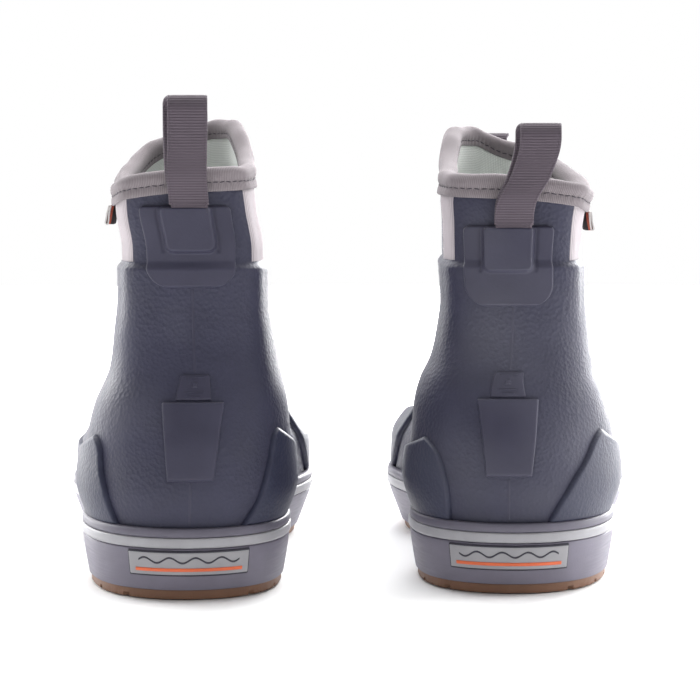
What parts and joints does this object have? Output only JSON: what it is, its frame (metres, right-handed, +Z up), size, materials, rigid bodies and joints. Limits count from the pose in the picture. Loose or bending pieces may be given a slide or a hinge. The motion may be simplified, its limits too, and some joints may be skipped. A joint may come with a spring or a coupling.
{
  "type": "pair of deck boots",
  "caption": "Ankle-high rubber deck boots with side gores, webbing pull loops, taped collar, layered foxing band and grooved gum sole.",
  "frame": {"origin": "centre of the pair's box on the ground", "axes": "+Y from heels to toes, +X to the wearer's right, +Z up"},
  "size_m": [0.2613, 0.3066, 0.2024],
  "materials": {
    "outsole": "matte gum rubber",
    "midsole": "dense foam rubber, hidden",
    "shank": "hidden steel strip",
    "insole_board": "pressed fibre board, hidden",
    "footbed": "foam with a cloth face",
    "foxing": "matte grey rubber band",
    "foxing_stripe": "matte light grey rubber stripe",
    "foxing_top_band": "matte grey rubber band",
    "heel_label": "smooth light grey rubber",
    "heel_label_bar": "smooth orange rubber",
    "upper_shell": "navy grey rubber with a fine grain",
    "liner": "pale grey-green cloth lining",
    "gore_medial": "light grey elastic cloth",
    "gore_lateral": "light grey elastic cloth",
    "quarter_overlay_medial": "navy grey rubber overlay",
    "quarter_overlay_lateral": "navy grey rubber overlay",
    "toe_guard": "navy grey rubber overlay",
    "toe_bumper": "matte grey rubber strip",
    "kick_plate": "smooth navy grey rubber",
    "size_tab": "smooth navy grey rubber",
    "rear_patch": "smooth navy grey rubber",
    "rear_pull_loop": "ribbed dark grey webbing",
    "front_patch": "smooth navy grey rubber",
    "front_pull_loop": "ribbed dark grey webbing",
    "collar_binding": "ribbed warm grey binding tape",
    "side_flag": "folded woven tag"
  },
  "bodies": {
    "boot_left": {"outsole_left": "outsole", "midsole_left": "midsole", "shank_left": "shank", "insole_board_left": "insole_board", "footbed_left": "footbed", "foxing_left": "foxing", "foxing_stripe_left": "foxing_stripe", "foxing_top_band_left": "foxing_top_band", "heel_label_left": "heel_label", "heel_label_bar_left": "heel_label_bar", "upper_shell_left": "upper_shell", "liner_left": "liner", "gore_medial_left": "gore_medial", "gore_lateral_left": "gore_lateral", "quarter_overlay_medial_left": "quarter_overlay_medial", "quarter_overlay_lateral_left": "quarter_overlay_lateral", "toe_guard_left": "toe_guard", "toe_bumper_left": "toe_bumper", "kick_plate_left": "kick_plate", "size_tab_left": "size_tab", "rear_patch_left": "rear_patch", "front_patch_left": "front_patch", "collar_binding_left": "collar_binding"},
    "rear_pull_loop_left": {"rear_pull_loop_left": "rear_pull_loop"},
    "front_pull_loop_left": {"front_pull_loop_left": "front_pull_loop"},
    "side_flag_left": {"side_flag_left": "side_flag"},
    "boot_right": {"outsole_right": "outsole", "midsole_right": "midsole", "shank_right": "shank", "insole_board_right": "insole_board", "footbed_right": "footbed", "foxing_right": "foxing", "foxing_stripe_right": "foxing_stripe", "foxing_top_band_right": "foxing_top_band", "heel_label_right": "heel_label", "heel_label_bar_right": "heel_label_bar", "upper_shell_right": "upper_shell", "liner_right": "liner", "gore_medial_right": "gore_medial", "gore_lateral_right": "gore_lateral", "quarter_overlay_medial_right": "quarter_overlay_medial", "quarter_overlay_lateral_right": "quarter_overlay_lateral", "toe_guard_right": "toe_guard", "toe_bumper_right": "toe_bumper", "kick_plate_right": "kick_plate", "size_tab_right": "size_tab", "rear_patch_right": "rear_patch", "front_patch_right": "front_patch", "collar_binding_right": "collar_binding"},
    "rear_pull_loop_right": {"rear_pull_loop_right": "rear_pull_loop"},
    "front_pull_loop_right": {"front_pull_loop_right": "front_pull_loop"},
    "side_flag_right": {"side_flag_right": "side_flag"}
  },
  "joints": [
    {"name": "boot_right_lift", "type": "slide", "parent": "boot_left", "child": "boot_right", "axis": [0, 0, 1], "range_m": [0, 0.25]},
    {"name": "rear_loop_hinge_left", "type": "hinge", "parent": "boot_left", "child": "rear_pull_loop_left", "pos_m": [-0.06481, -0.13748, 0.15986], "axis": [0.9983, 0.0576, 0], "range_deg": [0, 75], "stiffness_Nm_per_rad": 0.01},
    {"name": "front_loop_hinge_left", "type": "hinge", "parent": "boot_left", "child": "front_pull_loop_left", "pos_m": [-0.07186, -0.0142, 0.16445], "axis": [-0.9983, -0.0576, 0], "range_deg": [0, 60], "stiffness_Nm_per_rad": 0.01},
    {"name": "side_flag_hinge_left", "type": "hinge", "parent": "boot_left", "child": "side_flag_left", "pos_m": [-0.09844, -0.1007, 0.15692], "axis": [-0.0576, 0.9983, 0], "range_deg": [-10, 60], "stiffness_Nm_per_rad": 0.002},
    {"name": "rear_loop_hinge_right", "type": "hinge", "parent": "boot_right", "child": "rear_pull_loop_right", "pos_m": [0.06684, -0.12336, 0.15136], "axis": [0.9983, -0.0576, 0], "range_deg": [0, 75], "stiffness_Nm_per_rad": 0.01},
    {"name": "front_loop_hinge_right", "type": "hinge", "parent": "boot_right", "child": "front_pull_loop_right", "pos_m": [0.06316, 0.00185, 0.15613], "axis": [-0.9983, 0.0576, 0], "range_deg": [0, 60], "stiffness_Nm_per_rad": 0.01},
    {"name": "side_flag_hinge_right", "type": "hinge", "parent": "boot_right", "child": "side_flag_right", "pos_m": [0.09969, -0.08673, 0.1539], "axis": [-0.0576, -0.9983, 0], "range_deg": [-10, 60], "stiffness_Nm_per_rad": 0.002}
  ]
}
